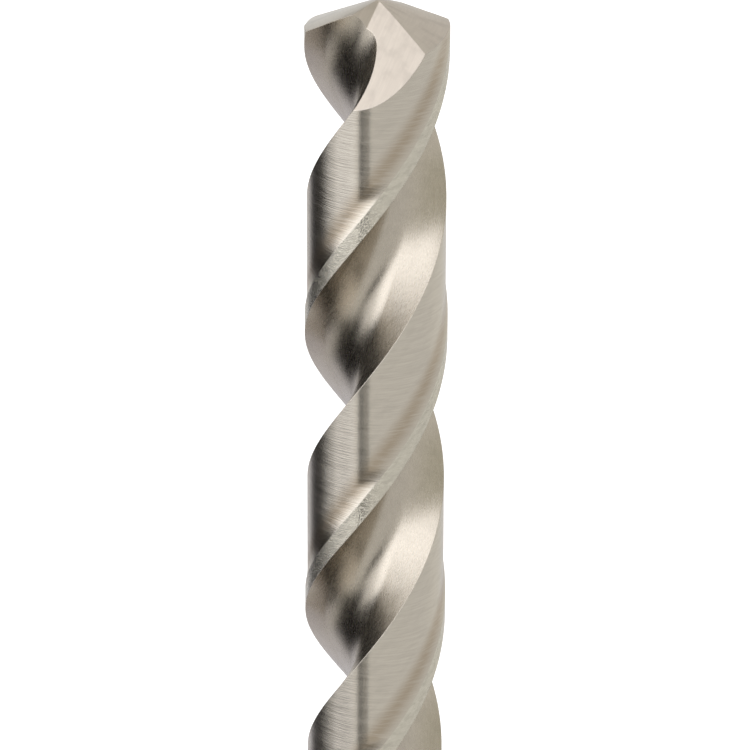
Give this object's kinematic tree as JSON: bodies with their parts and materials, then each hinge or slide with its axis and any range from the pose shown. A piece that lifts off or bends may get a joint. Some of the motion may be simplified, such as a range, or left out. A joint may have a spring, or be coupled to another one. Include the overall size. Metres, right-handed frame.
{
  "type": "twist drill bit",
  "caption": "Twist drill bit with right-hand helical flutes, narrow margins, a split point and a plain straight shank.",
  "frame": {"origin": "centre of the flat end of the shank", "axes": "+Z along the drill's axis from the shank end to the point, +X towards the outer end of one cutting lip"},
  "size_m": [0.0126, 0.0126, 0.1524],
  "materials": {
    "ground_steel": "bright ground tool steel, uncoated"
  },
  "bodies": {
    "root": {"twist_drill": "ground_steel"}
  },
  "joints": []
}
